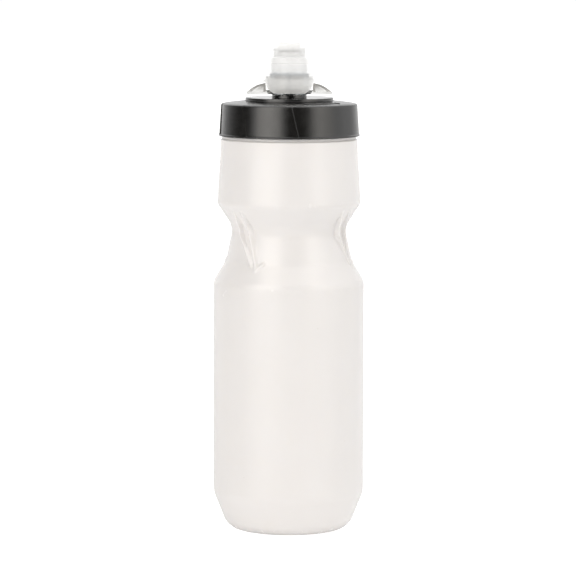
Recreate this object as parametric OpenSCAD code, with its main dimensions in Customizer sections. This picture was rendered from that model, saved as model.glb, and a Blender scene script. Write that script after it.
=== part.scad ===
// Squeeze bottle for a bicycle cage, with a screw cap, a quarter-turn lock dial
// and a soft pull-off mouthpiece that holds a slit valve.
// Millimetres. Z is up along the bottle, the base rests on Z = 0, the front faces -Y.

/* [Bottle body] */
// radius of the straight part that a bottle cage holds
body_r = 36.75; // [36.5:0.05:37]
// height of the sharp corner below the waist, before rounding
lower_shoulder_z = 121.85; // [118:0.1:124]
// radius where the lower shoulder meets the waist
waist_top_r = 30.8; // [30.2:0.1:31.4]
// radius of the narrowest corner of the waist, before rounding
waist_r = 27.3; // [26.8:0.1:27.8]
// height of that corner
waist_z = 148.26; // [147.5:0.1:149]
// radius of the shoulder above the waist, before rounding
upper_r = 35.05; // [34.6:0.05:35.4]
// radius of the upper section just under its top edge
collar_r = 33.4; // [33.2:0.05:33.6]
// wall thickness of the blown body
wall = 1.3; // [0.9:0.1:1.6]
// height of the hollow under the base
push_up = 3.5; // [2.5:0.1:4.5]

/* [Grip ribs] */
// angle between the two double ribs of each half of the waist
rib_gap = 105; // [100:1:110]
// how far a rib stands out where the waist is narrowest
rib_height = 2.3; // [1.8:0.1:2.4]
// width of one crest of a rib
rib_width = 1.5; // [1.2:0.1:2]

/* [Neck and thread] */
// radius of the smooth bead that shows under the cap
bead_r = 32.6; // [32.3:0.05:32.6]
// radius of the neck between the threads
neck_r = 30.2; // [30:0.05:30.3]
// radius of the mouth
mouth_r = 28.8; // [28.4:0.1:29]
// height of the rim that the cap seals on
rim_z = 204.4; // [204.2:0.05:204.4]
// rise of the thread in one turn
thread_lead = 6; // [5.8:0.1:6.2]

/* [Screw cap] */
// outer radius near the lower edge
cap_r = 34.15; // [34:0.05:34.4]
// outer radius near the top edge
cap_top_r = 33.2; // [33:0.05:33.4]
// height of the lower edge
cap_z = 192.8; // [192.6:0.05:192.9]
// number of slanted grip facets
facet_count = 8; // [6:1:10]
// depth of the step between two facets
facet_step = 0.5; // [0.3:0.05:0.55]
// lean of the steps from upright, in degrees
facet_lean = 13; // [8:1:16]

/* [Spout] */
// radius of the raised disc on the cap
disc_r = 21.4; // [21:0.1:21.5]
// height of the top of that disc
disc_z = 211.4; // [211.2:0.05:211.5]
// radius of the fixed post inside the dial
post_r = 7.2; // [7:0.05:7.4]
// reach of each dial wing from the axis
wing_reach = 20.9; // [20.3:0.1:21.3]
// thickness of a dial wing
wing_thickness = 3.4; // [2.8:0.1:4]
// radius of the mouthpiece tip
tip_r = 9.2; // [9.1:0.05:9.5]
// height of the mouthpiece tip
tip_z = 238.3; // [237.9:0.1:239]

/* [Hidden] */
$fn = 96;
tiny = 0.01;
arc_steps = 6;
running_gap = 0.05;

// bottle heights that follow from the shape
chamfer_z = 18.2;
shoulder_foot_z = 131.8;
upper_shoulder_z = 159.9;
collar_z = 191;
bead_top_z = 193.2;

// thread section, the same on the neck and in the cap
thread_base_w = 2.4;
thread_crest_w = 1.1;
neck_crest_r = 31.3;
cap_crest_r = 30.65;
neck_thread_z = 195.4;
neck_thread_turns = 1.15;
cap_thread_drop = 2.5;
cap_thread_from = 0.4;
cap_thread_to = 1.3;
thread_steps = 36;
thread_bite = 0.5;

// cap section
cap_bore_r = 31.9;
counterbore_r = 32.95;
counterbore_z = 194;
ceiling_z = 206;
deck_inner_z = 206.9;
deck_inner_r = 28.6;
seat_z = 209.4;
deck_edge_z = 208.7;
deck_centre_z = 209.95;
lip_r = 34.4;
lip_z = 193.5;
cap_hole_r = 17;
mark_ring_r = 27;
mark_height = 0.35;

// spout section
collar_under_dial_r = 8.5;
collar_under_dial_z = 212.5;
post_bore_r = 4.6;
post_top_z = 222.2;
port_z = 217.6;
port_r = 1.9;
snap_bead = 0.35;
dial_bottom_z = 212.7;
hub_r = 9.5;
hub_top_z = 222.8;
hub_ledge_z = 220.9;
saucer_r = 11.1;
channel_w = 3.6;
channel_depth = 1.1;
o_ring_section = 0.8;
o_ring_z = 215;
plate_seal_r = 19;
plate_seal_section = 0.63;
slit_w = 0.3;
slit_length = 8;

function unit(v) = v / norm(v);
function flat(p) = [p[0], p[1]];

// points of the arc that rounds corner b between a and c
function corner_arc(a, b, c, radius) =
    let (to_a = unit(flat(a) - flat(b)),
         to_c = unit(flat(c) - flat(b)),
         half = acos(to_a * to_c) / 2,
         centre = flat(b) + unit(to_a + to_c) * radius / sin(half),
         start = flat(b) + to_a * radius / tan(half) - centre,
         stop = flat(b) + to_c * radius / tan(half) - centre,
         from = atan2(start[1], start[0]),
         raw = atan2(stop[1], stop[0]) - from,
         turn = raw > 180 ? raw - 360 : raw < -180 ? raw + 360 : raw)
    [for (k = [0 : arc_steps])
        centre + radius * [cos(from + turn * k / arc_steps), sin(from + turn * k / arc_steps)]];

// a path of [radius, height, corner radius] with its corners rounded
function rounded(path) =
    [for (i = [0 : len(path) - 1])
        each (i == 0 || i == len(path) - 1 || path[i][2] == 0
            ? [flat(path[i])]
            : corner_arc(path[i - 1], path[i], path[i + 1], path[i][2]))];

// normal at point i of a path, on the left of its direction
function left_normal(path, i) =
    let (before = i == 0 ? path[1] - path[0] : path[i] - path[i - 1],
         after = i == len(path) - 1 ? before : path[i + 1] - path[i],
         along = unit(unit(before) + unit(after)))
    [-along[1], along[0]];

// the same path moved to its left by a distance
function moved_left(path, distance) =
    [for (i = [0 : len(path) - 1]) path[i] + distance * left_normal(path, i)];

// outside of the blown body, from the centre of the base to the collar
body_path = rounded([
    [0, push_up, 0],
    [17.6, push_up - 0.4, 12],
    [21.8, 0, 1.8],
    [29.46, 0, 8.6],
    [body_r, chamfer_z, 12],
    [body_r, lower_shoulder_z, 7],
    [waist_top_r, shoulder_foot_z, 6],
    [waist_r, waist_z, 10],
    [upper_r, upper_shoulder_z, 4.5],
    [collar_r + 0.2, collar_z - 8, 40],
    [collar_r, collar_z, 1.2]]);

// the line of a rib's crest, which bridges the hollow of the waist
crest_path = rounded([
    [33.3, 128.4, 0],
    [31.4, 132.4, 6],
    [waist_r + 0.8 + rib_height, 141, 18],
    [waist_r + 0.8 + rib_height, 147.2, 10],
    [33.9, 157.8, 0]]);

// one turn or more of thread as a swept trapezium whose two ends run out to nothing
module thread(root_r, crest_r, first_z, from_turn, to_turn) {
    count = ceil(thread_steps * (to_turn - from_turn));
    run_out = 3;
    rings = [for (i = [0 : count])
        let (turn = from_turn + (to_turn - from_turn) * i / count,
             grown = min(1, 0.08 + min(i, count - i) / run_out),
             crest = root_r + (crest_r - root_r) * grown,
             z = first_z + thread_lead * turn,
             base = thread_base_w / 2,
             top = thread_base_w / 2 * (1 - grown) + thread_crest_w / 2 * grown)
        for (corner = [[root_r, -base], [crest, -top], [crest, top], [root_r, base]])
            [corner[0] * cos(360 * turn), corner[0] * sin(360 * turn), z + corner[1]]];
    sides = [for (i = [0 : count - 1]) for (k = [0 : 3])
        let (a = 4 * i + k, b = 4 * i + (k + 1) % 4)
        for (face = [[a, b, b + 4], [a, b + 4, a + 4]]) face];
    last = 4 * count;
    ends = [[0, 2, 1], [0, 3, 2],
            [last, last + 1, last + 2], [last, last + 2, last + 3]];
    inward = crest_r < root_r;
    polyhedron(points = rings,
               faces = [for (face = concat(sides, ends))
                   inward ? [face[2], face[1], face[0]] : face]);
}

// a straight band between two points, drawn flat
module band(a, b, width) {
    side = unit([a[1] - b[1], b[0] - a[0]]) * width / 2;
    polygon([a - side, b - side, b + side, a + side]);
}

// the same width of band along a bent path
module ribbon(path, width) {
    left = moved_left(path, width / 2);
    right = moved_left(path, -width / 2);
    polygon(concat(left, [for (i = [len(path) - 1 : -1 : 0]) right[i]]));
}

// one slanted rib, two crests and a hooked foot, cut from a ring that fills the waist
module grip_rib() {
    intersection() {
        rotate_extrude()
            polygon(concat([[waist_r - 1, 128.4]], crest_path, [[waist_r - 1, 157.8]]));
        rotate([90, 0, 0])
            linear_extrude(height = body_r) {
                ribbon(rounded([[-6.2, 158, 0], [-4.6, 145.5, 15], [4, 131.4, 0]]), rib_width);
                ribbon(rounded([[-0.8, 158, 0], [2.3, 144.5, 15], [7.2, 129, 0]]), rib_width);
                band([7, 129.2], [10.6, 132.2], rib_width);
            }
    }
}

module bottle_body() {
    neck_top = rim_z;
    inner = moved_left(body_path, wall);
    color([0.93, 0.92, 0.9])
        union() {
            difference() {
                union() {
                    rotate_extrude()
                        polygon(concat(body_path,
                                       [[bead_r, collar_z + 0.7], [bead_r, bead_top_z - 0.3],
                                        [bead_r - 0.3, bead_top_z], [neck_r, bead_top_z],
                                        [neck_r, neck_top - 0.3], [neck_r - 0.3, neck_top],
                                        [0, neck_top]]));
                    for (half = [0, 180])
                        for (turn = [-43, rib_gap - 43])
                            rotate([0, 0, half + turn])
                                grip_rib();
                }
                rotate_extrude()
                    polygon(concat([[0, push_up + wall]],
                                   [for (i = [1 : len(inner) - 4]) inner[i]],
                                   [[collar_r - wall, collar_z - 3.4], [mouth_r, collar_z + 0.4],
                                    [mouth_r, neck_top - 0.3], [mouth_r + 0.3, neck_top + tiny],
                                    [mouth_r + 0.3, neck_top + 1], [0, neck_top + 1]]));
            }
            thread(neck_r - thread_bite, neck_crest_r, neck_thread_z, 0, neck_thread_turns);
        }
}

// the wedge of plastic that is missing in front of one step of the cap
module facet_cut() {
    intersection() {
        translate([0, 0, 201.5])
            rotate([0, -facet_lean, 0])
                translate([0, -cap_r - 4, -20])
                    cube([cap_r * 0.8, 16, 40]);
        difference() {
            translate([0, 0, lip_z + 0.7])
                cylinder(h = 20, r = cap_r + 6);
            translate([facet_step * sqrt(2), 0, lip_z])
                cylinder(h = 21, r1 = cap_r - facet_step,
                         r2 = cap_r - facet_step - (cap_r - cap_top_r) * 1.5);
        }
    }
}

// a raised arrow that bends with the deck and shows which way the dial opens
module turn_arrow() {
    rotate([0, 0, -75])
        rotate_extrude(angle = 42)
            translate([mark_ring_r, deck_edge_z])
                square([1, 0.35 + mark_height]);
    rotate([0, 0, -33])
        translate([mark_ring_r + 0.5, 0, deck_edge_z])
            linear_extrude(height = 0.35 + mark_height)
                polygon([[-1.6, 0], [1.6, 0], [0, 2.6]]);
}

module screw_cap() {
    outside = rounded([
        [cap_hole_r, seat_z, 0],
        [disc_r + 0.15, seat_z, 0],
        [disc_r + 0.15, deck_centre_z, 0.2],
        [31.5, deck_edge_z + 0.1, 6],
        [cap_top_r - 0.1, deck_edge_z - 0.5, 0.7],
        [cap_r, lip_z + 0.5, 0.4],
        [lip_r, lip_z, 0.2],
        [lip_r, cap_z, 0.2],
        [counterbore_r, cap_z, 0]]);
    inside = [
        [counterbore_r, counterbore_z],
        [cap_bore_r, counterbore_z + 0.6],
        [cap_bore_r, ceiling_z],
        [deck_inner_r, ceiling_z],
        [deck_inner_r, deck_inner_z],
        [cap_hole_r, deck_inner_z]];
    color([0.16, 0.16, 0.16])
        union() {
            difference() {
                rotate_extrude()
                    polygon(concat(outside, inside));
                for (i = [0 : facet_count - 1])
                    rotate([0, 0, 4.5 + 360 / facet_count * i])
                        facet_cut();
                translate([0, 0, seat_z - 1.3])
                    rotate_extrude()
                        translate([plate_seal_r - 0.8, 0])
                            square([1.6, 2]);
            }
            thread(cap_bore_r + thread_bite, cap_crest_r,
                   neck_thread_z - cap_thread_drop, cap_thread_from, cap_thread_to);
            turn_arrow();
        }
}

module neck_gasket() {
    color([0.75, 0.77, 0.78])
        rotate_extrude()
            polygon(rounded([
                [mouth_r + 0.2, rim_z + 0.8, 0],
                [mouth_r + 0.2, rim_z + 0.1, 0.25],
                [cap_bore_r - 0.1, rim_z + 0.1, 0.25],
                [cap_bore_r - 0.1, ceiling_z - 0.02, 0.25],
                [mouth_r + 0.2, ceiling_z - 0.02, 0.25],
                [mouth_r + 0.2, rim_z + 0.8, 0]]));
}

module spout_stem() {
    outside = rounded([
        [post_bore_r, deck_inner_z + 2.5, 0],
        [15.4, deck_inner_z + 2.5, 0.6],
        [15.4, deck_inner_z - 1.5, 0],
        [cap_hole_r + 0.2, deck_inner_z - 1.5, 0],
        [cap_hole_r + 0.55, deck_inner_z - 0.9, 0],
        [cap_hole_r + 0.55, deck_inner_z - 0.1, 0],
        [cap_hole_r - 0.05, deck_inner_z - 0.1, 0],
        [cap_hole_r - 0.05, seat_z + 0.02, 0],
        [disc_r, seat_z + 0.02, 0],
        [disc_r, disc_z, 0.3],
        [collar_under_dial_r, disc_z, 0.3],
        [collar_under_dial_r, collar_under_dial_z, 0.2],
        [post_r, collar_under_dial_z, 0],
        [post_r, post_top_z - 1.1, 0],
        [post_r + snap_bead, post_top_z - 0.9, 0],
        [post_r + snap_bead, post_top_z - 0.4, 0],
        [post_r - 0.3, post_top_z, 0],
        [0, post_top_z, 0]]);
    color([0.2, 0.2, 0.2])
        difference() {
            rotate_extrude()
                polygon(concat(outside, [[0, post_top_z - 1.6], [post_bore_r, post_top_z - 1.6]]));
            translate([-20, 0, port_z])
                rotate([0, 90, 0])
                    cylinder(h = 40, r = port_r);
            translate([0, 0, o_ring_z - o_ring_section - 0.05])
                difference() {
                    cylinder(h = 2 * o_ring_section + 0.1, r = post_r + 1);
                    translate([0, 0, -1])
                        cylinder(h = 4, r = post_r - 2 * o_ring_section - 0.02);
                }
        }
}

module stem_plate_seal() {
    color([0.1, 0.1, 0.1])
        translate([0, 0, seat_z - 0.65])
            rotate_extrude()
                translate([plate_seal_r, 0])
                    circle(r = plate_seal_section);
}

module stem_o_ring() {
    color([0.1, 0.1, 0.1])
        translate([0, 0, o_ring_z])
            rotate_extrude()
                translate([post_r - o_ring_section + 0.01, 0])
                    circle(r = o_ring_section);
}

// side view of one wing, thin to the outer tip and highest beside the mouthpiece
module wing_outline() {
    polygon(rounded([
        [hub_r - 0.3, 213.6, 0],
        [hub_r - 0.3, 213, 0],
        [wing_reach - 0.3, 213, 0.4],
        [wing_reach, 213.9, 0.4],
        [wing_reach - 2.6, 216, 7],
        [15.4, 217.6, 7],
        [11.6, 218.45, 0.6],
        [11.35, 214.9, 0.3],
        [hub_r - 0.3, 214.9, 0],
        [hub_r - 0.3, 213.6, 0]]));
}

// the thin web inside that outline is what is left between two pockets
module wing_pocket() {
    polygon(rounded([
        [13, 214.1, 0],
        [wing_reach - 2.4, 214.1, 0.3],
        [wing_reach - 3.4, 215.15, 3],
        [15.05, 216.66, 4],
        [12.4, 217.25, 0.3],
        [12.4, 214.1, 0.3],
        [13, 214.1, 0]]));
}

module lock_dial() {
    bore = post_r + running_gap;
    web = 1.2;
    color([0.72, 0.72, 0.7, 0.7])
        difference() {
            union() {
                rotate_extrude()
                    polygon([
                        [bore, dial_bottom_z], [collar_under_dial_r - 0.1, dial_bottom_z],
                        [saucer_r - 0.3, dial_bottom_z + 0.9], [saucer_r, dial_bottom_z + 1.2],
                        [saucer_r, dial_bottom_z + 1.6], [saucer_r - 0.2, dial_bottom_z + 1.8],
                        [hub_r, dial_bottom_z + 1.9], [hub_r, hub_top_z - 0.3],
                        [hub_r - 0.3, hub_top_z],
                        [post_r + snap_bead + 0.3, hub_top_z],
                        [post_r + snap_bead + 0.3, hub_ledge_z], [bore, hub_ledge_z - 0.2]]);
                for (side = [0, 180])
                    rotate([0, 0, side])
                        translate([0, wing_thickness / 2, 0])
                            rotate([90, 0, 0])
                                linear_extrude(height = wing_thickness)
                                    wing_outline();
            }
            for (side = [0, 180])
                rotate([0, 0, side])
                    for (face = [-1, 1])
                        translate([0, face > 0 ? web / 2 + wing_thickness : -web / 2, 0])
                            rotate([90, 0, 0])
                                linear_extrude(height = wing_thickness)
                                    wing_pocket();
            for (side = [0, 180])
                rotate([0, 0, side])
                    translate([-channel_w / 2, bore - 0.5, port_z - port_r])
                        cube([channel_w, channel_depth + 0.5, 10]);
        }
}

module mouthpiece() {
    skirt_wall = 1.3;
    sleeve_r = hub_r + running_gap;
    sleeve_z = 215.2;
    shell = rounded([
        [15.2 - skirt_wall, 213.8, 0],
        [15.2, 213.8, 0.4],
        [14.9, 217.2, 5],
        [12.7, 220.4, 9],
        [11.3, 224.7, 9],
        [10.6, 228, 0.2],
        [10.75, 228.2, 0.1],
        [10.75, 231.3, 0.4],
        [tip_r, 231.5, 0.3],
        [tip_r, tip_z, 0.9],
        [5.4, tip_z, 0.5],
        [5.4, 235.4, 0],
        [7.65, 235.4, 0],
        [7.65, 230.6, 0],
        [8.7, 229.6, 0],
        [8.7, hub_top_z + 0.1, 0],
        [sleeve_r + 0.6, hub_top_z + 0.1, 0],
        [11.8 - skirt_wall, 221.2, 2],
        [13.3 - skirt_wall, 219, 3],
        [15.2 - skirt_wall, 216.4, 3],
        [15.2 - skirt_wall, 213.8, 0]]);
    color([0.93, 0.94, 0.94, 0.6])
        union() {
            difference() {
                rotate_extrude()
                    polygon(shell);
                for (side = [0, 1])
                    mirror([side, 0, 0])
                        translate([0, 20, 0])
                            rotate([90, 0, 0])
                                linear_extrude(height = 40)
                                    polygon([[7.1, 212], [7.6, 213.9], [11.2, 217.2],
                                             [12.2, 218.6], [15.4, 219.2], [24, 219.2],
                                             [24, 212]]);
            }
            rotate_extrude()
                polygon([[sleeve_r, sleeve_z], [sleeve_r + 1.3, sleeve_z],
                         [sleeve_r + 1.3, 221.5], [sleeve_r + 1.7, hub_top_z + 1.5],
                         [sleeve_r, hub_top_z + 1.5]]);
        }
}

module jet_valve() {
    color([0.85, 0.88, 0.9])
        difference() {
            rotate_extrude()
                polygon([[0, 233.5], [5.5, 233.5], [5.5, 234.2], [7.6, 234.2], [7.6, 235.35],
                         [5.2, 235.35], [4.8, 234.4], [0, 234.2]]);
            for (turn = [0, 90])
                rotate([0, 0, turn])
                    translate([-slit_length / 2, -slit_w / 2, 233])
                        cube([slit_length, slit_w, 3]);
        }
}

module valve_retainer() {
    color([0.8, 0.84, 0.86])
        rotate_extrude()
            polygon([[5.7, 230.8], [7.3, 230.8], [7.6, 231.1], [7.6, 234.15],
                     [5.7, 234.15]]);
}

bottle_body();
screw_cap();
neck_gasket();
spout_stem();
stem_plate_seal();
stem_o_ring();
lock_dial();
mouthpiece();
jet_valve();
valve_retainer();
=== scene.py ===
"""Bicycle water bottle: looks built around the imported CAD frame. Metres, Z up, front towards -Y."""
import math

import bmesh
import bpy
import numpy as np
from mathutils import Matrix, Vector


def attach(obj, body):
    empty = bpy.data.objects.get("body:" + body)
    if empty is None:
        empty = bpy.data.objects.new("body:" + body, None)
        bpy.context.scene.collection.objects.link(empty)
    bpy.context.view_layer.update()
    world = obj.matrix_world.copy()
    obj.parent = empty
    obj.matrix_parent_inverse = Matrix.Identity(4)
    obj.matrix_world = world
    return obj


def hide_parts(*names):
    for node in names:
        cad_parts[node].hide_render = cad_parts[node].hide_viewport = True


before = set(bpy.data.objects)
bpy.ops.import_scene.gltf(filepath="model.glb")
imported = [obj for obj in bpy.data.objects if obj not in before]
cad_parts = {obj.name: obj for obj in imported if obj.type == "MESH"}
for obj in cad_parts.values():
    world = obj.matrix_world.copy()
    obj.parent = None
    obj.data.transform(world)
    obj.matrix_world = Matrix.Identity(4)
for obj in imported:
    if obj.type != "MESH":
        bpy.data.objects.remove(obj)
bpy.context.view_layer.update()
MM = 0.001


# ---------------------------------------------------------------- paths
def rounded(path, steps=10):
    """Points (r, z) of a path of (r, z, corner radius), with each corner as an arc."""
    points = []
    for i, (r, z, radius) in enumerate(path):
        here = np.array([r, z], float)
        if i in (0, len(path) - 1) or radius == 0:
            points.append(here)
            continue
        to_a = np.array(path[i - 1][:2], float) - here
        to_c = np.array(path[i + 1][:2], float) - here
        to_a /= np.linalg.norm(to_a)
        to_c /= np.linalg.norm(to_c)
        half = math.acos(float(np.clip(to_a @ to_c, -1, 1))) / 2
        middle = to_a + to_c
        centre = here + middle / np.linalg.norm(middle) * radius / math.sin(half)
        start = here + to_a * radius / math.tan(half) - centre
        stop = here + to_c * radius / math.tan(half) - centre
        first = math.atan2(start[1], start[0])
        turn = math.atan2(stop[1], stop[0]) - first
        turn = (turn + math.pi) % (2 * math.pi) - math.pi
        for k in range(steps + 1):
            a = first + turn * k / steps
            points.append(centre + radius * np.array([math.cos(a), math.sin(a)]))
    return np.array(points)


def finer(points, longest):
    """The same path with long segments cut so that none is longer than longest(r, z)."""
    out = [points[0]]
    for a, b in zip(points[:-1], points[1:]):
        limit = min(longest(*a), longest(*b), longest(*((a + b) / 2)))
        count = max(1, math.ceil(np.linalg.norm(b - a) / limit))
        out += [a + (b - a) * k / count for k in range(1, count + 1)]
    return np.array(out)


def moved_left(points, distance):
    along = np.gradient(points, axis=0)
    along /= np.linalg.norm(along, axis=1)[:, None]
    return points + distance * np.stack([-along[:, 1], along[:, 0]], 1)


def smooth(x):
    x = np.clip(x, 0, 1)
    return x * x * (3 - 2 * x)


# ---------------------------------------------------------------- meshes
def mesh_object(name, verts, faces, sharp_deg=38, weld=1e-6):
    """An object from points in millimetres, welded, with normals out and hard edges kept."""
    mesh = bpy.data.meshes.new(name)
    mesh.from_pydata((np.asarray(verts) * MM).tolist(), [], faces)
    work = bmesh.new()
    work.from_mesh(mesh)
    bmesh.ops.remove_doubles(work, verts=work.verts, dist=weld)
    bmesh.ops.recalc_face_normals(work, faces=work.faces)
    work.to_mesh(mesh)
    work.free()
    mesh.polygons.foreach_set("use_smooth", [True] * len(mesh.polygons))
    mesh.set_sharp_from_angle(angle=math.radians(sharp_deg))
    made = bpy.data.objects.new(name, mesh)
    bpy.context.scene.collection.objects.link(made)
    return made


def grid_faces(rows, columns, first=0, wrap_rows=False):
    faces = []
    for i in range(rows if wrap_rows else rows - 1):
        for j in range(columns):
            a = first + i * columns + j
            b = first + i * columns + (j + 1) % columns
            c = first + ((i + 1) % rows) * columns + (j + 1) % columns
            d = first + ((i + 1) % rows) * columns + j
            faces.append((a, b, c, d))
    return faces


def ring_points(rows, azimuths, shape=None):
    """Points of a turned surface. Azimuth is 0 at the front (-Y) and grows towards +X."""
    r = np.repeat(rows[:, 0][:, None], len(azimuths), 1)
    z = np.repeat(rows[:, 1][:, None], len(azimuths), 1)
    az = np.repeat(np.asarray(azimuths)[None, :], len(rows), 0)
    if shape:
        r, z, az = shape(r, z, az)
    return np.stack([r * np.sin(az), -r * np.cos(az), z], 2).reshape(-1, 3)


def turned(name, rows, columns=192, shape=None, closed=False, sharp_deg=38):
    az = np.arange(columns) * 2 * math.pi / columns
    return mesh_object(name, ring_points(rows, az, shape),
                       grid_faces(len(rows), columns, wrap_rows=closed), sharp_deg)


def thread_mesh(root_r, crest_r, first_z, from_turn, to_turn, lead=6.0, base=2.4, crest=1.1):
    """A swept trapezium with soft crest corners whose two ends run out to nothing."""
    count = int(110 * (to_turn - from_turn))
    verts, faces = [], []
    for i in range(count + 1):
        turn = from_turn + (to_turn - from_turn) * i / count
        grown = float(smooth(min(1, 0.08 + min(i, count - i) / 10)))
        top = root_r + (crest_r - root_r) * grown
        ease = root_r + (crest_r - root_r) * grown * 0.86
        z = first_z + lead * turn
        half, flat = base / 2, base / 2 * (1 - grown) + crest / 2 * grown
        for r, dz in ((root_r, -half), (ease, -flat * 1.12), (top, -flat * 0.8),
                      (top, flat * 0.8), (ease, flat * 1.12), (root_r, half)):
            a = 2 * math.pi * turn
            verts.append((r * math.cos(a), r * math.sin(a), z + dz))
    for i in range(count):
        for k in range(6):
            a, b = 6 * i + k, 6 * i + (k + 1) % 6
            faces.append((a, b, b + 6, a + 6))
    faces.append(tuple(range(6)))
    faces.append(tuple(range(6 * count, 6 * count + 6)))
    return verts, faces


def joined(target, *others):
    for o in bpy.context.selected_objects:
        o.select_set(False)
    for o in (target, *others):
        o.select_set(True)
    bpy.context.view_layer.objects.active = target
    bpy.ops.object.join()
    target.select_set(False)
    return target


def applied(target):
    """The object with its modifiers made part of its mesh."""
    graph = bpy.context.evaluated_depsgraph_get()
    done = bpy.data.meshes.new_from_object(target.evaluated_get(graph))
    target.modifiers.clear()
    target.data = done
    return target


def cut_by(target, tool, operation="DIFFERENCE"):
    step = target.modifiers.new("cut", "BOOLEAN")
    step.operation, step.solver, step.object = operation, "EXACT", tool
    applied(target)
    bpy.data.objects.remove(tool)
    return target


def bevelled(target, width, segments=3, limit_deg=30):
    step = target.modifiers.new("edge", "BEVEL")
    step.width, step.segments = width * MM, segments
    step.limit_method, step.angle_limit = "ANGLE", math.radians(limit_deg)
    step.harden_normals = False
    return applied(target)


def soften(target, sharp_deg=38):
    mesh = target.data
    mesh.polygons.foreach_set("use_smooth", [True] * len(mesh.polygons))
    mesh.set_sharp_from_angle(angle=math.radians(sharp_deg))
    return target


def mask(target, name, values):
    """A number at each vertex, which a material can read."""
    layer = target.data.attributes.new(name, "FLOAT", "POINT")
    layer.data.foreach_set("value", np.asarray(values, np.float32))


def places(target):
    found = np.empty(len(target.data.vertices) * 3, np.float64)
    target.data.vertices.foreach_get("co", found)
    return found.reshape(-1, 3) / MM


# ---------------------------------------------------------------- materials
class Look:
    """A Principled material that is put together from layers of object-space pattern."""

    def __init__(self, name, **sockets):
        self.material = bpy.data.materials.new(name)
        self.material.use_nodes = True
        self.tree = self.material.node_tree
        self.shader = self.tree.nodes["Principled BSDF"]
        self.place = self.tree.nodes.new("ShaderNodeTexCoord").outputs["Object"]
        self.height = None
        for socket, value in sockets.items():
            self.shader.inputs[socket.replace("_", " ")].default_value = value

    def node(self, kind, **settings):
        made = self.tree.nodes.new("ShaderNode" + kind)
        for key, value in settings.items():
            setattr(made, key, value)
        return made

    def link(self, source, target):
        self.tree.links.new(source, target)

    def noise(self, size_mm, detail=3.0, stretch=(1, 1, 1), roughness=0.5):
        """A pattern from 0 to 1 whose features are about size_mm wide."""
        mapping = self.node("Mapping")
        mapping.inputs["Scale"].default_value = stretch
        self.link(self.place, mapping.inputs["Vector"])
        made = self.node("TexNoise")
        made.inputs["Scale"].default_value = 1000 / size_mm
        made.inputs["Detail"].default_value = detail
        made.inputs["Roughness"].default_value = roughness
        self.link(mapping.outputs["Vector"], made.inputs["Vector"])
        return made.outputs[0]

    def specks(self, size_mm, level):
        """Rare small spots: 1 inside a spot and 0 elsewhere."""
        cells = self.node("TexVoronoi", feature="F1")
        cells.inputs["Scale"].default_value = 1000 / size_mm
        self.link(self.place, cells.inputs["Vector"])
        return self.span(cells.outputs["Distance"], level, level * 0.5, 0, 1)

    def attribute(self, name):
        return self.node("Attribute", attribute_name=name).outputs["Fac"]

    def span(self, source, low, high, to_low=0.0, to_high=1.0):
        made = self.node("MapRange")
        for socket, value in zip(("From Min", "From Max", "To Min", "To Max"),
                                 (low, high, to_low, to_high)):
            made.inputs[socket].default_value = value
        self.link(source, made.inputs["Value"])
        return made.outputs["Result"]

    def maths(self, kind, a, b):
        made = self.node("Math", operation=kind)
        for socket, value in zip(made.inputs, (a, b)):
            if isinstance(value, (int, float)):
                socket.default_value = value
            else:
                self.link(value, socket)
        return made.outputs[0]

    def mix(self, factor, a, b):
        made = self.node("Mix", data_type="RGBA")
        self.link(factor, made.inputs[0])
        for socket, value in zip((made.inputs[6], made.inputs[7]), (a, b)):
            if isinstance(value, tuple):
                socket.default_value = (*value, 1)
            else:
                self.link(value, socket)
        return made.outputs[2]

    def colour(self, source):
        self.link(source, self.shader.inputs["Base Color"])

    def roughness(self, source):
        self.link(source, self.shader.inputs["Roughness"])

    def bump(self, source, depth_mm, strength=1.0):
        made = self.node("Bump")
        made.inputs["Strength"].default_value = strength
        made.inputs["Distance"].default_value = depth_mm * MM
        self.link(source, made.inputs["Height"])
        if self.height is not None:
            self.link(self.height, made.inputs["Normal"])
        self.height = made.outputs["Normal"]
        self.link(self.height, self.shader.inputs["Normal"])


def polyethylene():
    """Blown, milky, waxy plastic: faint flow marks, orange peel and scuffs where it rubs."""
    look = Look("blown_polyethylene", IOR=1.5, Subsurface_Weight=0.25, Subsurface_Scale=0.002,
                Subsurface_Radius=(1.0, 0.95, 0.85), Specular_IOR_Level=0.68)
    cloud = look.noise(26, 3)
    flow = look.noise(9, 4, stretch=(1, 1, 0.14))
    base = look.mix(look.span(cloud, 0.3, 0.7), (0.832, 0.807, 0.795), (0.842, 0.818, 0.807))
    base = look.mix(look.span(flow, 0.35, 0.75, 0, 0.35), base, (0.820, 0.794, 0.780))
    scuff = look.maths("MULTIPLY", look.attribute("wear"),
                       look.span(look.noise(2.2, 5, roughness=0.7), 0.42, 0.62))
    base = look.mix(look.maths("MULTIPLY", scuff, 0.3), base, (0.74, 0.72, 0.70))
    base = look.mix(look.maths("MULTIPLY", look.specks(11, 0.035), 0.35), base,
                    (0.62, 0.58, 0.53))
    look.colour(base)
    rough = look.span(look.noise(6, 4), 0.3, 0.7, 0.2, 0.27)
    look.roughness(look.maths("ADD", rough, look.maths("MULTIPLY", scuff, 0.04)))
    look.bump(look.noise(3.2, 2), 0.012)
    look.bump(flow, 0.02)
    look.bump(look.noise(0.5, 3), 0.0015)
    return look.material


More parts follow.
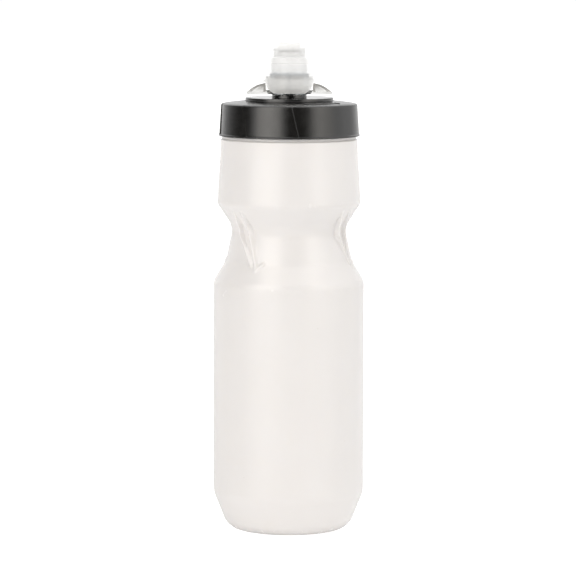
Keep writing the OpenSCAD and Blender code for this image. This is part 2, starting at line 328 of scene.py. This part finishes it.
def polypropylene(name, dark, light, rough=(0.17, 0.24)):
    """Moulded dark plastic with a fine sparked grain, flow clouds and paler rubbed edges."""
    look = Look(name, IOR=1.5, Specular_IOR_Level=0.85)
    base = look.mix(look.span(look.noise(14, 3), 0.3, 0.7), dark, light)
    grain = look.noise(0.45, 3, roughness=0.6)
    base = look.mix(look.span(grain, 0.45, 0.75, 0, 0.3), base,
                    tuple(c * 1.6 + 0.002 for c in light))
    rubbed = look.maths("MULTIPLY", look.attribute("wear"),
                        look.span(look.noise(1.6, 4, roughness=0.7), 0.38, 0.62))
    base = look.mix(look.maths("MULTIPLY", rubbed, 0.4), base, (0.055, 0.054, 0.052))
    base = look.mix(look.maths("MULTIPLY", look.specks(9, 0.04), 0.5), base,
                    (0.16, 0.155, 0.15))
    look.colour(base)
    rough_now = look.span(look.noise(4, 4), 0.3, 0.7, *rough)
    look.roughness(look.maths("ADD", rough_now, look.maths("MULTIPLY", rubbed, 0.12)))
    look.bump(grain, 0.012)
    look.bump(look.noise(7, 2), 0.03)
    return look.material


def silicone(name, tint, shade, solid, rough=(0.16, 0.28), cloud_mm=7, grey_and_painted_shade=None):
    """Clear moulded silicone: milky clouds, a slightly sticky surface and fine dust."""
    look = Look(name, IOR=1.41, Alpha=solid, Specular_IOR_Level=0.5)
    base = look.mix(look.span(look.noise(cloud_mm, 4), 0.3, 0.7), tint, shade)
    # An optional second colour mixed in by a vertex mask; on the mouthpiece it carries painted shade
    # as well as a grey tint.
    if grey_and_painted_shade:
        base = look.mix(look.attribute("grey_and_painted_shade"), base, grey_and_painted_shade)
    dust = look.specks(4.0, 0.05)
    look.colour(look.mix(look.maths("MULTIPLY", dust, 0.2), base, (0.8, 0.79, 0.77)))
    rough_now = look.span(look.noise(2.5, 4), 0.3, 0.7, *rough)
    look.roughness(look.maths("ADD", rough_now, look.maths("MULTIPLY", dust, 0.2)))
    look.bump(look.noise(1.8, 3), 0.012)
    return look.material


def black_rubber():
    """Rubber rings: matt, with a bloom in the moulding grain."""
    look = Look("ring_rubber", IOR=1.52, Specular_IOR_Level=0.35)
    base = look.mix(look.span(look.noise(1.5, 4), 0.35, 0.7), (0.014, 0.014, 0.015),
                    (0.034, 0.033, 0.032))
    look.colour(base)
    look.roughness(look.span(look.noise(0.7, 4), 0.3, 0.7, 0.5, 0.68))
    look.bump(look.noise(0.3, 3), 0.01)
    return look.material


def floor_paper():
    """The plain pale ground under the bottle: satin white, and lit up to white where it is
    looked at directly."""
    look = Look("floor_paper", IOR=1.5, Specular_IOR_Level=0.5, Emission_Color=(1, 1, 1, 1))
    look.colour(look.mix(look.span(look.noise(60, 3), 0.3, 0.7), (0.80, 0.80, 0.80),
                         (0.83, 0.83, 0.83)))
    look.roughness(look.span(look.noise(20, 3), 0.3, 0.7, 0.14, 0.2))
    path = look.node("LightPath").outputs
    look.link(look.maths("ADD", look.maths("MULTIPLY", path["Is Camera Ray"], 0.62),
                         look.maths("MULTIPLY", path["Is Diffuse Ray"], 0.26)),
              look.shader.inputs["Emission Strength"])
    return look.material


# ---------------------------------------------------------------- bottle body
BODY_R, WAIST_R, UPPER_R, COLLAR_R, WALL = 36.75, 27.3, 35.05, 33.4, 1.3
NECK_R, MOUTH_R, BEAD_R, RIM_Z, COLLAR_Z = 30.2, 28.8, 32.6, 204.4, 191.0
PUSH_UP, STRAIGHT_FROM_Z, STRAIGHT_TO_Z, WAIST_Z, UPPER_Z = 3.5, 18.2, 121.85, 148.26, 159.9
RIB_FOOT_Z, RIB_TOP_Z, RIB_SPREAD_R = 128.4, 157.8, 29.6
RIB_AZIMUTHS = (-43, 62, 137, 242)
SEAM_AZIMUTHS = (-80, 100)


def segment_distance(t, z, a, b):
    a, b = np.array(a, float), np.array(b, float)
    run = b - a
    along = np.clip(((t - a[0]) * run[0] + (z - a[1]) * run[1]) / (run @ run), 0, 1)
    return np.hypot(t - a[0] - along * run[0], z - a[1] - along * run[1])


def rib_relief(r, z, az):
    """Height in millimetres of the slanted double ribs, which bridge the hollow of the waist."""
    crest_r = np.interp(z, [RIB_FOOT_Z, 132.4, 137, 141, 147, 152, RIB_TOP_Z],
                        [33.3, 31.45, 30.7, 30.4, 30.55, 31.95, 33.9])
    tall = np.clip(crest_r - r, 0.25, 2.4)
    total = np.zeros_like(r)
    for middle in RIB_AZIMUTHS:
        turn = (az - math.radians(middle) + math.pi) % (2 * math.pi) - math.pi
        t = RIB_SPREAD_R * turn
        crest = np.zeros_like(r)
        for a, b, width in (((-5.5, 158), (-4.5, 145.5), 0.95), ((-4.5, 145.5), (3.8, 131.6), 0.95),
                            ((-0.7, 158), (2.2, 144.5), 0.95), ((2.2, 144.5), (6.7, 129.3), 0.95),
                            ((6.6, 129.4), (10.0, 132.3), 0.85)):
            away = segment_distance(t, z, a, b) / width
            crest = np.maximum(crest, np.exp(-(away ** 4)))
        middle_t = np.interp(z, [130.5, 145, 157], [5.2, -1.2, -3.1])
        web = smooth(1 - np.abs(t - middle_t) / 3.6) * 0.3
        fade = smooth((158.4 - z) / 2.0) * smooth((z - 127.8) / 1.2)
        total = np.maximum(total, np.maximum(crest, web) * tall * fade)
    return total


def body_shape(outer_rows):
    def shape(r, z, az):
        skin = np.repeat(outer_rows[:, None], r.shape[1], 1)
        r = r + skin * rib_relief(r, z, az)
        for seam in SEAM_AZIMUTHS:
            turn = (az - math.radians(seam) + math.pi) % (2 * math.pi) - math.pi
            ridge = np.exp(-((turn * 34 / 0.28) ** 2)) * 0.09
            r = r + skin * ridge * smooth((z - 10) / 4) * smooth((190 - z) / 3)
        pinch = np.exp(-((r * np.cos(az - math.radians(10)) / 0.5) ** 2)) * 0.35
        under = skin * smooth((20 - r) / 4) * (z < 5)
        return r, z - pinch * under, az
    return shape


def bottle_skin():
    path = rounded([(0, PUSH_UP, 0), (17.6, PUSH_UP - 0.4, 12), (21.8, 0, 1.8),
                    (29.46, 0, 8.6), (BODY_R, STRAIGHT_FROM_Z, 12), (BODY_R, STRAIGHT_TO_Z, 7),
                    (30.8, 131.8, 6), (WAIST_R, WAIST_Z, 10), (UPPER_R, UPPER_Z, 4.5),
                    (COLLAR_R + 0.2, COLLAR_Z - 8, 40), (COLLAR_R, COLLAR_Z, 1.2)], 8)
    neck = rounded([(COLLAR_R, COLLAR_Z, 0), (BEAD_R, COLLAR_Z + 0.7, 0.3), (BEAD_R, 193.2, 0.4),
                    (NECK_R, 193.2, 0.4), (NECK_R, RIM_Z, 0.35), (MOUTH_R, RIM_Z, 0.35),
                    (MOUTH_R, COLLAR_Z + 0.4, 0)], 4)[1:]
    inner = moved_left(path, WALL)[::-1]
    inner = inner[inner[:, 1] < COLLAR_Z - 3.4]
    inner = inner[inner[:, 0] > 0.5]
    inner = np.vstack([[MOUTH_R, COLLAR_Z + 0.4], inner, [0, PUSH_UP + WALL]])

    def longest(r, z):
        if 127 < z < 159:
            return 0.55
        if r < 24 and z < 5:
            return 1.2
        return 6.0 if z < 120 else 3.0
    outer = np.vstack([finer(path, longest), neck])
    inner = finer(inner, lambda r, z: 9.0)[1:]
    rows = np.vstack([outer, inner])
    skin = np.concatenate([np.ones(len(outer) - len(neck)), np.zeros(len(neck) + len(inner))])
    made = turned("bottle_skin", rows, 480, body_shape(skin))
    verts, faces = thread_mesh(NECK_R - 0.5, 31.3, 195.4, 0, 1.15)
    made = joined(made, mesh_object("neck_thread", verts, faces, 30))
    place = places(made)
    r, z = np.hypot(place[:, 0], place[:, 1]), place[:, 2]
    wear = np.exp(-((z - 2.0) / 2.4) ** 2) * (r > 21.5)
    wear += 0.35 * np.exp(-((z - 119) / 3.5) ** 2) + 0.25 * np.exp(-((z - 161) / 2.5) ** 2)
    wear += 0.06 * (np.abs(r - BODY_R) < 0.3)
    mask(made, "wear", np.clip(wear, 0, 1) * (r > 21.5))
    made.data.materials.append(polyethylene())
    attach(made, "bottle")
    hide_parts("bottle_body")
    return made


# ---------------------------------------------------------------- screw cap
FACETS, FACET_STEP, FACET_LEAN, FALL_SHARE = 8, 0.5, 13.0, 0.016
FACET_FIRST, SKIRT_MIDDLE_Z, SKIRT_MIDDLE_R = 4.5, 201.5, 33.6
CAP_BORE_R, CAP_THREAD_BORE_R = 32.95, 31.9
CAP_R, CAP_TOP_R, LIP_R, CAP_Z, LIP_Z = 34.15, 33.2, 34.4, 192.8, 193.5
DECK_EDGE_Z, DECK_CENTRE_Z, SEAT_Z, DISC_R = 208.7, 209.95, 209.4, 21.4


def facet_columns():
    """Where the mesh columns lie inside one facet, from 0 to 1: crowded at the step."""
    return np.concatenate([[0.0, 0.005, 0.010, FALL_SHARE, 0.034], np.linspace(0.09, 0.93, 15),
                           [0.965, 0.985, 0.996]])


def facet_depth(u):
    """How far the surface is cut back at place u of a facet: steep at 0, nothing at 1."""
    fall = smooth(np.clip(u / FALL_SHARE, 0, 1))
    rest = (1 - (u - FALL_SHARE) / (1 - FALL_SHARE)) ** 1.15
    return FACET_STEP * np.where(u < FALL_SHARE, fall, rest)


def facet_turn(z):
    """How far the slant of the facets turns them at a height, in radians."""
    return (SKIRT_MIDDLE_Z - z) * math.tan(math.radians(FACET_LEAN)) / SKIRT_MIDDLE_R


def cap_skin():
    path = rounded([(17.0, SEAT_Z, 0), (DISC_R + 0.15, SEAT_Z, 0.1),
                    (DISC_R + 0.15, DECK_CENTRE_Z, 0.25), (31.3, DECK_EDGE_Z + 0.12, 8),
                    (CAP_TOP_R - 0.05, DECK_EDGE_Z - 0.35, 0.8), (CAP_R, LIP_Z + 0.45, 0.5),
                    (LIP_R, LIP_Z, 0.25), (LIP_R, CAP_Z, 0.25), (CAP_BORE_R, CAP_Z, 0.15),
                    (CAP_BORE_R, 194.0, 0.2), (CAP_THREAD_BORE_R, 194.6, 0.2),
                    (CAP_THREAD_BORE_R, 206.0, 0.5),
                    (28.6, 206.0, 0.3), (28.6, 206.9, 0.3), (17.0, 206.9, 0.2),
                    (17.0, SEAT_Z, 0)], 6)[:-1]
    rows = finer(path, lambda r, z: 1.1 if r > 24 and z > 193 else 4.0)
    count = FACETS * len(facet_columns())
    local = np.concatenate([facet_columns() + k for k in range(FACETS)])
    az = math.radians(FACET_FIRST) + local * 2 * math.pi / FACETS
    depth = np.array([facet_depth(u % 1.0) for u in local])

    def shape(r, z, a):
        lean = facet_turn(z)
        outside = (z > LIP_Z - 0.1) & (r > 29)
        skirt = smooth((r - 30.2) / 2.6) * smooth((z - LIP_Z - 0.05) / 0.5) * outside
        hidden = (np.abs(r - CAP_THREAD_BORE_R) < 0.6) & (z < 206.3)
        skirt = np.where(hidden, 0, skirt)
        a = a + np.where(z > 190, lean, 0)
        return r - skirt * depth[None, :], z, a
    made = mesh_object("cap_skin", ring_points(rows, az, shape),
                       grid_faces(len(rows), count, wrap_rows=True), 26)
    verts, faces = thread_mesh(32.4, 30.65, 192.9, 0.4, 1.3)
    made = joined(made, mesh_object("cap_thread", verts, faces, 30), *deck_marks())
    place = places(made)
    r, z = np.hypot(place[:, 0], place[:, 1]), place[:, 2]
    az_now = np.degrees(np.arctan2(place[:, 0], -place[:, 1]))
    u = ((az_now - FACET_FIRST - np.degrees(facet_turn(z))) / (360 / FACETS)) % 1.0
    ridge = np.exp(-(np.minimum(u, 1 - u) / 0.02) ** 2) * (r > 32) * (z > LIP_Z)
    edge = np.exp(-((z - 208.3) / 0.7) ** 2) * (r > 31.5)
    lip = np.exp(-((z - 193.1) / 0.5) ** 2) * (r > 33)
    mask(made, "wear", np.clip(0.2 * ridge + 0.6 * edge + 0.4 * lip, 0, 1))
    made.data.materials.append(
        polypropylene("cap_polypropylene", (0.0030, 0.0026, 0.0022), (0.0052, 0.0046, 0.0038)))
    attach(made, "cap")
    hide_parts("screw_cap")
    return made


def deck_height(r):
    """Height of the gently domed deck at a radius."""
    return DECK_CENTRE_Z + (DECK_EDGE_Z + 0.12 - DECK_CENTRE_Z) * (r - 21.55) / (31.3 - 21.55)


def raised_patch(name, outline, rise=0.3, drop=0.4):
    """A low raised mark on the deck: an outline of (radius, azimuth) lofted to a soft top."""
    rings = []
    centre = np.mean(outline, 0)
    for shrink, z in ((1.0, -drop), (1.0, rise * 0.6), (0.93, rise * 0.92), (0.84, rise)):
        pts = []
        for r, a in outline:
            rr = centre[0] + (r - centre[0]) * shrink
            aa = centre[1] + (a - centre[1]) * shrink
            pts.append((rr * math.sin(aa), -rr * math.cos(aa), deck_height(rr) + z))
        rings.append(pts)
    n = len(outline)
    verts = [p for ring in rings for p in ring]
    faces = grid_faces(len(rings), n)
    faces.append(tuple(range(n)))
    faces.append(tuple(range((len(rings) - 1) * n, len(rings) * n)))
    return mesh_object(name, verts, faces, 30)


def deck_marks():
    """A bent arrow and a row of plain raised ticks that show which way the dial opens."""
    marks = []
    steps = np.radians(np.linspace(15, 57, 22))
    marks.append(arc_bar("arrow_bar", 27.0, 28.0, steps))
    tip = [(25.9, math.radians(57)), (29.1, math.radians(57)), (27.5, math.radians(62.5))]
    marks.append(raised_patch("arrow_tip", tip))
    for k in range(12):
        a = math.radians(17 + 3.4 * k)
        tall = 1.15 if k % 4 == 0 else 0.7
        half = math.radians(0.62)
        marks.append(raised_patch(f"tick_{k}", [(25.6 - tall, a - half), (25.6 - tall, a + half),
                                                (25.6, a + half), (25.6, a - half)]))
    return marks


def arc_bar(name, inner, outer, steps, rise=0.3, drop=0.4):
    """A raised bar that follows an arc on the deck."""
    verts = []
    for a in steps:
        for r, z in ((inner, -drop), (inner, rise * 0.6), (inner + 0.12, rise),
                     (outer - 0.12, rise), (outer, rise * 0.6), (outer, -drop)):
            verts.append((r * math.sin(a), -r * math.cos(a), deck_height(r) + z))
    faces = []
    for i in range(len(steps) - 1):
        for k in range(6):
            a, b = 6 * i + k, 6 * i + (k + 1) % 6
            faces.append((a, b, b + 6, a + 6))
    last = 6 * (len(steps) - 1)
    faces += [tuple(range(6)), tuple(range(last, last + 6))]
    return mesh_object(name, verts, faces, 30)


# ---------------------------------------------------------------- spout stem
def stem_skin():
    path = rounded([(0, 222.2, 0), (6.9, 222.2, 0.3), (7.55, 221.8, 0.2), (7.55, 221.3, 0.2),
                    (7.2, 221.1, 0), (7.2, 215.85, 0.1), (5.6, 215.85, 0.1), (5.6, 214.15, 0.1),
                    (7.2, 214.15, 0.1), (7.2, 212.5, 0.15), (8.5, 212.5, 0.25),
                    (8.5, 211.4, 0.2), (DISC_R, 211.4, 0.15), (DISC_R, 209.42, 0.15),
                    (16.95, 209.42, 0), (16.95, 206.8, 0), (17.55, 206.8, 0.1),
                    (17.55, 206.0, 0.1), (17.2, 205.4, 0), (15.4, 205.4, 0), (15.4, 209.4, 0.6),
                    (4.6, 209.4, 0.2), (4.6, 220.6, 0.3), (0, 220.6, 0)], 5)
    made = turned("stem_skin", finer(path, lambda r, z: 3.0), 128, sharp_deg=30)
    port = turned("port_tool", np.array([(0, -20), (1.9, -20), (1.9, 20), (0, 20)], float), 24)
    port.rotation_euler = (0, math.pi / 2, 0)
    port.location = (0, 0, 217.6 * MM)
    bpy.context.view_layer.update()
    cut_by(made, port)
    soften(made, 30)
    place = places(made)
    r, z = np.hypot(place[:, 0], place[:, 1]), place[:, 2]
    wear = np.exp(-((r - DISC_R) / 0.4) ** 2) * (z > 211)
    mask(made, "wear", np.clip(wear, 0, 1))
    made.data.materials.append(
        polypropylene("stem_polypropylene", (0.0030, 0.0028, 0.0026), (0.0052, 0.0048, 0.0042),
                      (0.08, 0.13)))
    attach(made, "cap")
    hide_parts("spout_stem")
    return made


# ---------------------------------------------------------------- lock dial
WING_REACH, WING_T, WEB_T = 20.9, 3.4, 1.2


def extruded(name, outline, thickness, at_y):
    """An (x, z) outline given thickness along Y around at_y."""
    n = len(outline)
    verts = [(x, at_y - thickness / 2, z) for x, z in outline]
    verts += [(x, at_y + thickness / 2, z) for x, z in outline]
    faces = [(i, (i + 1) % n, n + (i + 1) % n, n + i) for i in range(n)]
    faces += [tuple(range(n)), tuple(range(n, 2 * n))]
    return mesh_object(name, verts, faces, 30)


def wing_mesh(side):
    rim = rounded([(9.2, 213.8, 0), (9.2, 213, 0), (WING_REACH - 0.3, 213, 0.4),
                   (WING_REACH, 213.9, 0.4), (WING_REACH - 2.6, 216, 7), (15.4, 217.6, 7),
                   (11.6, 218.45, 0.6), (11.35, 214.9, 0.3), (9.2, 214.9, 0)], 6)
    hollow = rounded([(13, 214.1, 0), (WING_REACH - 2.4, 214.1, 0.3),
                      (WING_REACH - 3.4, 215.15, 3), (15.05, 216.66, 4), (12.4, 217.25, 0.3),
                      (12.4, 214.1, 0.3)], 6)
    rim[:, 0] *= side
    hollow[:, 0] *= side
    wing = bevelled(extruded(f"wing_{side}", rim, WING_T, 0), 0.28, 2, 50)
    for at_y in (-1, 1):
        cut_by(wing, extruded("pocket", hollow, WING_T, at_y * (WEB_T + WING_T) / 2))
    return wing


def dial_skin():
    path = rounded([(7.25, 212.7, 0.1), (8.4, 212.7, 0.2), (10.8, 213.6, 0.6),
                    (11.1, 213.9, 0.2), (11.1, 214.3, 0.2), (10.9, 214.5, 0.2), (9.5, 214.6, 0.4),
                    (9.5, 222.8, 0.3), (7.85, 222.8, 0.2), (7.85, 220.9, 0.1),
                    (7.25, 220.7, 0), (7.25, 212.7, 0.1)], 5)[1:-1]
    made = turned("dial_skin", finer(path, lambda r, z: 2.5), 128, closed=True, sharp_deg=30)
    for side in (-1, 1):
        cut_by(made, wing_mesh(side), "UNION")
    for side in (-1, 1):
        groove = [(-1.8, 215.7), (1.8, 215.7), (1.8, 225.7), (-1.8, 225.7)]
        cut_by(made, extruded("channel", groove, 1.6, side * 7.55))
    soften(made, 35)
    place = places(made)
    r, z = np.hypot(place[:, 0], place[:, 1]), place[:, 2]
    # Painted shade: the wing rims and the saucer edge are darkened in the colour, standing in for the
    # dark edges that refraction gives clear plastic; fainter below the wing tops.
    rim = (np.abs(place[:, 1]) > WEB_T / 2 + 0.1) * np.where(z > 214.5, 1.0, 0.3) * (r > 11.3)
    mask(made, "rim", np.maximum(rim, (r > 11.15) & (r < 12.9)))
    mask(made, "hub", smooth((z - 214.9) / 1.5) * (r < 10))
    look = Look("dial_clear_grey", IOR=1.49, Transmission_Weight=1.0, Specular_IOR_Level=0.5)
    clear = look.mix(look.span(look.noise(5, 3), 0.3, 0.7), (0.95, 0.945, 0.92),
                     (0.985, 0.985, 0.97))
    clear = look.mix(look.attribute("hub"), clear, (0.80, 0.86, 0.90))
    # Painted shade on the rims: the clear colour is mixed towards dark grey by the rim mask.
    look.colour(look.mix(look.attribute("rim"), clear, (0.36, 0.35, 0.33)))
    look.roughness(look.span(look.noise(2.4, 4), 0.3, 0.7, 0.04, 0.10))
    look.bump(look.noise(3.0, 3), 0.015)
    made.data.materials.append(look.material)
    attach(made, "dial")
    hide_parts("lock_dial")
    return made


# ---------------------------------------------------------------- mouthpiece
def skirt_edge(az):
    """Height of the skirt's lower edge: low in front and behind, arched over the wings."""
    turn = np.degrees(np.abs((az + math.pi / 2) % math.pi - math.pi / 2))
    return np.interp(turn, [0, 29, 31.5, 38, 50, 57, 62, 90],
                     [213.8, 213.8, 213.95, 215.1, 217.1, 218.6, 218.8, 219.1])


def mouthpiece_skin():
    outer = rounded([(15.2, 213.8, 0), (14.9, 217.2, 5), (12.7, 220.4, 9), (11.3, 224.7, 9),
                     (10.6, 228, 0.25), (10.75, 228.3, 0.15), (10.75, 231.35, 0.5),
                     (9.2, 231.5, 0.35), (9.2, 238.3, 0.9), (5.4, 238.3, 0.6), (5.4, 235.4, 0),
                     (7.65, 235.4, 0), (7.65, 230.6, 0.3), (8.7, 229.6, 0.4), (8.7, 222.9, 0),
                     (9.55, 222.9, 0.1), (9.55, 215.2, 0.15), (10.85, 215.2, 0.4),
                     (10.85, 220.6, 0.5), (11.5, 220.6, 0.4), (13.3, 218.2, 3),
                     (13.9, 216.4, 2), (13.9, 213.8, 0)], 6)
    rows = finer(outer, lambda r, z: 0.8)
    skirt_out = np.arange(len(rows)) < len(rows) / 2
    fall = rows[:, 1] < 222.0
    free = fall & ((rows[:, 0] > 11.4) | skirt_out)

    def shape(r, z, az):
        edge = skirt_edge(az)
        low, high = 213.8, 222.0
        lifted = edge + (z - low) * (high - edge) / (high - low)
        new_z = np.where(free[:, None], lifted, z)
        out_z, out_r = rows[:, 1], rows[:, 0]
        new_r = r.copy()
        for part in (skirt_out & free, ~skirt_out & free):
            order = np.argsort(out_z[part])
            new_r[part] = np.interp(new_z[part], out_z[part][order], out_r[part][order])
        return new_r, new_z, az
    made = turned("mouthpiece_skin", rows, 192, shape, closed=True, sharp_deg=40)
    place = places(made)
    z = place[:, 2]
    r = np.hypot(place[:, 0], place[:, 1])
    # Mask for the blue-grey mix: slightly greyer over the bell, painted shade on the sleeve under the
    # skirt, painted shade along the fold at 223 mm, and a narrow darker stripe down the front of the
    # sleeve.
    bell = 0.08 * smooth((228.2 - z) / 1.2) * smooth((z - 221.2) / 1.5)
    sleeve = 0.05 * (r < 11.3) * (z > 214.8) * (z < 223.6)
    fold = (r < 11.6) * np.exp(-((z - 223.0) / 0.75) ** 2)
    front = (r < 11.3) * np.exp(-(place[:, 0] / 0.7) ** 2) * (z < 223.6) * (place[:, 1] < 0)
    fold = np.maximum(fold, 0.8 * front)
    mask(made, "grey_and_painted_shade", np.clip(np.maximum(np.maximum(bell, sleeve), fold), 0, 1))
    # The blue-grey colour is painted shade on the sleeve and the fold, mixed in by the mask above.
    made.data.materials.append(
        silicone("mouthpiece_silicone", (0.985, 0.985, 0.98), (0.965, 0.966, 0.963), 0.36,
                 grey_and_painted_shade=(0.34, 0.40, 0.47)))
    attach(made, "spout")
    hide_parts("mouthpiece")
    return made


# ---------------------------------------------------------------- carried-over CAD nodes
def dress_cad_nodes():
    valve = silicone("valve_silicone", (0.96, 0.97, 0.98), (0.92, 0.94, 0.96), 0.12, cloud_mm=3)
    ring = silicone("retainer_plastic", (0.96, 0.97, 0.975), (0.93, 0.95, 0.96), 0.12,
                    (0.1, 0.2), 4)
    seal = silicone("gasket_silicone", (0.60, 0.63, 0.65), (0.50, 0.53, 0.55), 1.0,
                    (0.35, 0.5), 5)
    rubber = black_rubber()
    for name, look in (("jet_valve", valve), ("valve_retainer", ring), ("neck_gasket", seal),
                       ("stem_plate_seal", rubber), ("stem_o_ring", rubber)):
        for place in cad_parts[name].material_slots:
            place.material = look


# ---------------------------------------------------------------- studio
def floor():
    half, cells = 9.0, 24
    line = np.linspace(-half, half, cells + 1) / MM
    verts = [(x, y, 0) for y in line for x in line]
    faces = []
    for i in range(cells):
        for j in range(cells):
            a = i * (cells + 1) + j
            faces.append((a, a + 1, a + cells + 2, a + cells + 1))
    made = mesh_object("floor", verts, faces)
    made.data.materials.append(floor_paper())
    return made


BOX_TINT = (1.03, 1.0, 0.955)


def world_light():
    """A white room whose brightness changes with direction: two tall soft boxes at the sides
    of the camera, a dark gap between them, white behind the bottle and bright above it."""
    world = bpy.data.worlds.new("studio")
    bpy.context.scene.world = world
    world.use_nodes = True
    tree = world.node_tree
    nodes, links = tree.nodes, tree.links
    background = nodes["Background"]
    split = nodes.new("ShaderNodeSeparateXYZ")
    links.new(nodes.new("ShaderNodeTexCoord").outputs["Generated"], split.inputs[0])
    flip = nodes.new("ShaderNodeMath")
    flip.operation = "MULTIPLY"
    flip.inputs[1].default_value = -1
    links.new(split.outputs["Y"], flip.inputs[0])
    angle = nodes.new("ShaderNodeMath")
    angle.operation = "ARCTAN2"
    links.new(split.outputs["X"], angle.inputs[0])
    links.new(flip.outputs[0], angle.inputs[1])
    turn = nodes.new("ShaderNodeMapRange")
    turn.inputs["From Min"].default_value = -math.pi
    turn.inputs["From Max"].default_value = math.pi
    links.new(angle.outputs[0], turn.inputs["Value"])
    ramp = nodes.new("ShaderNodeValToRGB")
    ramp.color_ramp.interpolation = "LINEAR"
    peak = 3.2
    stops = ((-180, 1.02), (-150, 1.02), (-128, 0.6), (-108, 0.2), (-94, 0.06), (-74, 0.08),
             (-65, 0.8), (-54, 2.3), (-38, 2.8), (-20, 2.1), (-11, 0.6), (-4, 0.06), (20, 0.05),
             (30, 0.25), (38, 1.3), (50, 2.0), (66, 1.5), (84, 1.05), (104, 1.1), (124, 0.8),
             (150, 1.02), (180, 1.02))
    elements = ramp.color_ramp.elements
    for k, (degrees, level) in enumerate(stops):
        stop = elements[k] if k < 2 else elements.new(1.0)
        stop.position = (degrees + 180) / 360
        warm = BOX_TINT if level > 1.1 else (1, 1, 1)
        stop.color = (*(level / peak * share for share in warm), 1)
    links.new(turn.outputs["Result"], ramp.inputs["Fac"])
    high = nodes.new("ShaderNodeMapRange")
    high.interpolation_type = "SMOOTHSTEP"
    high.inputs["From Min"].default_value = math.sin(math.radians(45))
    high.inputs["From Max"].default_value = math.sin(math.radians(75))
    links.new(split.outputs["Z"], high.inputs["Value"])
    blend = nodes.new("ShaderNodeMix")
    blend.data_type = "RGBA"
    links.new(high.outputs["Result"], blend.inputs[0])
    links.new(ramp.outputs["Color"], blend.inputs[6])
    top = 1.0 / peak
    blend.inputs[7].default_value = (top, top, top, 1)
    links.new(blend.outputs[2], background.inputs["Color"])
    rise = nodes.new("ShaderNodeMapRange")
    rise.interpolation_type = "SMOOTHSTEP"
    rise.inputs["From Min"].default_value = math.sin(math.radians(8))
    rise.inputs["From Max"].default_value = math.sin(math.radians(30))
    rise.inputs["To Min"].default_value = peak
    rise.inputs["To Max"].default_value = peak * 1.05
    links.new(split.outputs["Z"], rise.inputs["Value"])
    links.new(rise.outputs["Result"], background.inputs["Strength"])
    white = nodes.new("ShaderNodeBackground")
    white.inputs["Color"].default_value = (1, 1, 1, 1)
    white.inputs["Strength"].default_value = 1.02
    pick = nodes.new("ShaderNodeMixShader")
    links.new(nodes.new("ShaderNodeLightPath").outputs["Is Camera Ray"], pick.inputs[0])
    links.new(background.outputs[0], pick.inputs[1])
    links.new(white.outputs[0], pick.inputs[2])
    links.new(pick.outputs[0], nodes["World Output"].inputs["Surface"])


def camera():
    made = bpy.data.cameras.new("camera")
    made.lens, made.sensor_width, made.sensor_fit = 224.7, 36, "HORIZONTAL"
    made.clip_start, made.clip_end = 0.05, 60
    holder = bpy.data.objects.new("camera", made)
    bpy.context.scene.collection.objects.link(holder)
    holder.location = (-0.0004, -1.75, 0.295)
    pitch = math.radians(90 - 5.77)
    view = Vector((0, 0, 1))
    holder.matrix_world = (Matrix.Translation(holder.location)
                           @ Matrix.Rotation(pitch, 4, "X")
                           @ Matrix.Rotation(math.radians(0.15), 4, view))
    bpy.context.scene.camera = holder


camera()
floor()
world_light()
bpy.context.scene.view_settings.view_transform = "Standard"
bottle_skin()
cap_skin()
stem_skin()
dial_skin()
mouthpiece_skin()
dress_cad_nodes()
